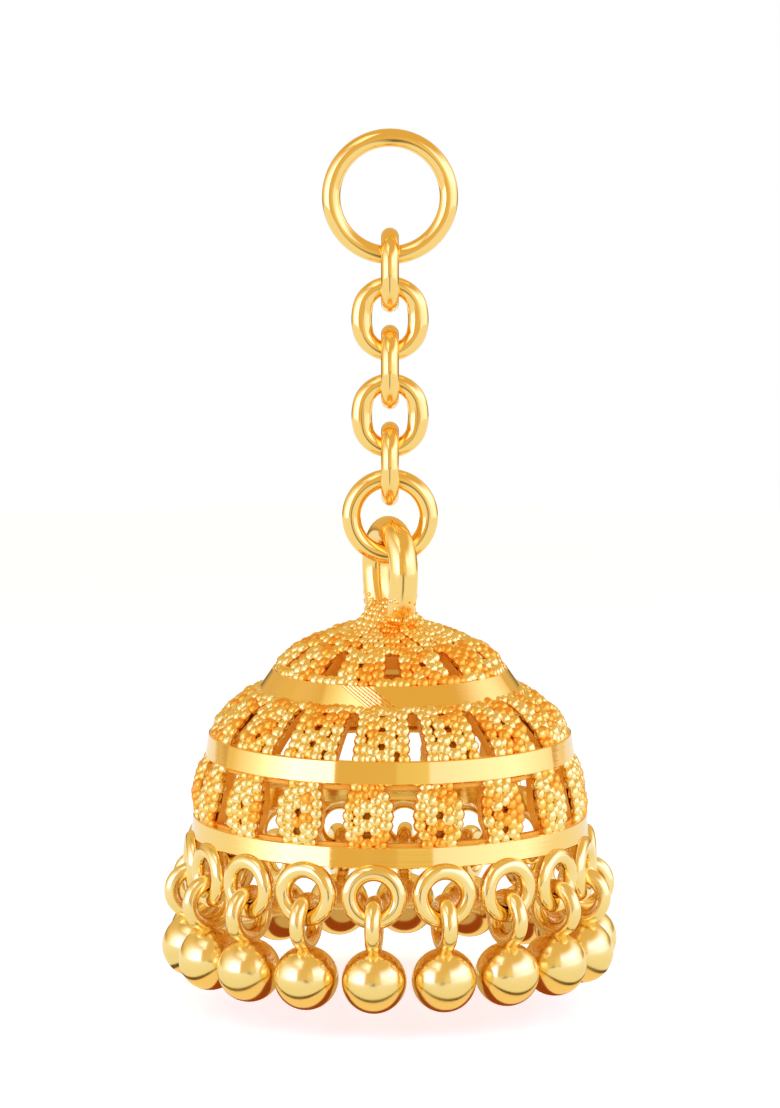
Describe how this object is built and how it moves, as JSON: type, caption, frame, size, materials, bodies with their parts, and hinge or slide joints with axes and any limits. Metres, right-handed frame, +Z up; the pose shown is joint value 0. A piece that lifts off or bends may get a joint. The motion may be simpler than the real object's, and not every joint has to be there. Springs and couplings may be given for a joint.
{
  "type": "jhumka earring",
  "caption": "Jhumka drop earring: a wire ring and cable chain carry a hollow pierced bell with raised florets, flat bands and ball drops round its rim.",
  "frame": {"origin": "hanging point: inside top of the upper ring, where the post of an ear stud carries it", "axes": "+Z up along the hanging chain; +Y from the front of the bell to its back; +X to the right seen from the front"},
  "size_m": [0.0206, 0.0208, 0.0384],
  "materials": {
    "polished_gold": "polished gold plate",
    "granulated_gold": "gold plate, bright-cut bands and matt granulated florets"
  },
  "bodies": {
    "chain": {"top_ring": "polished_gold", "chain_link_1": "polished_gold", "chain_link_2": "polished_gold", "chain_link_3": "polished_gold", "chain_link_4": "polished_gold", "chain_link_5": "polished_gold"},
    "connecting_ring": {"connecting_ring": "polished_gold"},
    "bell": {"dome": "granulated_gold", "bead_drop_01": "polished_gold", "bead_drop_02": "polished_gold", "bead_drop_03": "polished_gold", "bead_drop_04": "polished_gold", "bead_drop_05": "polished_gold", "bead_drop_06": "polished_gold", "bead_drop_07": "polished_gold", "bead_drop_08": "polished_gold", "bead_drop_09": "polished_gold", "bead_drop_10": "polished_gold", "bead_drop_11": "polished_gold", "bead_drop_12": "polished_gold", "bead_drop_13": "polished_gold", "bead_drop_14": "polished_gold", "bead_drop_15": "polished_gold", "bead_drop_16": "polished_gold", "bead_drop_17": "polished_gold", "bead_drop_18": "polished_gold"}
  },
  "joints": [
    {"name": "ring_sway", "type": "hinge", "parent": "chain", "child": "connecting_ring", "pos_m": [0, 0, -0.01581], "axis": [0, 1, 0], "range_deg": [-70, 70]},
    {"name": "dome_swing", "type": "hinge", "parent": "connecting_ring", "child": "bell", "pos_m": [0, 0, -0.01844], "axis": [1, 0, 0], "range_deg": [-75, 75]}
  ]
}
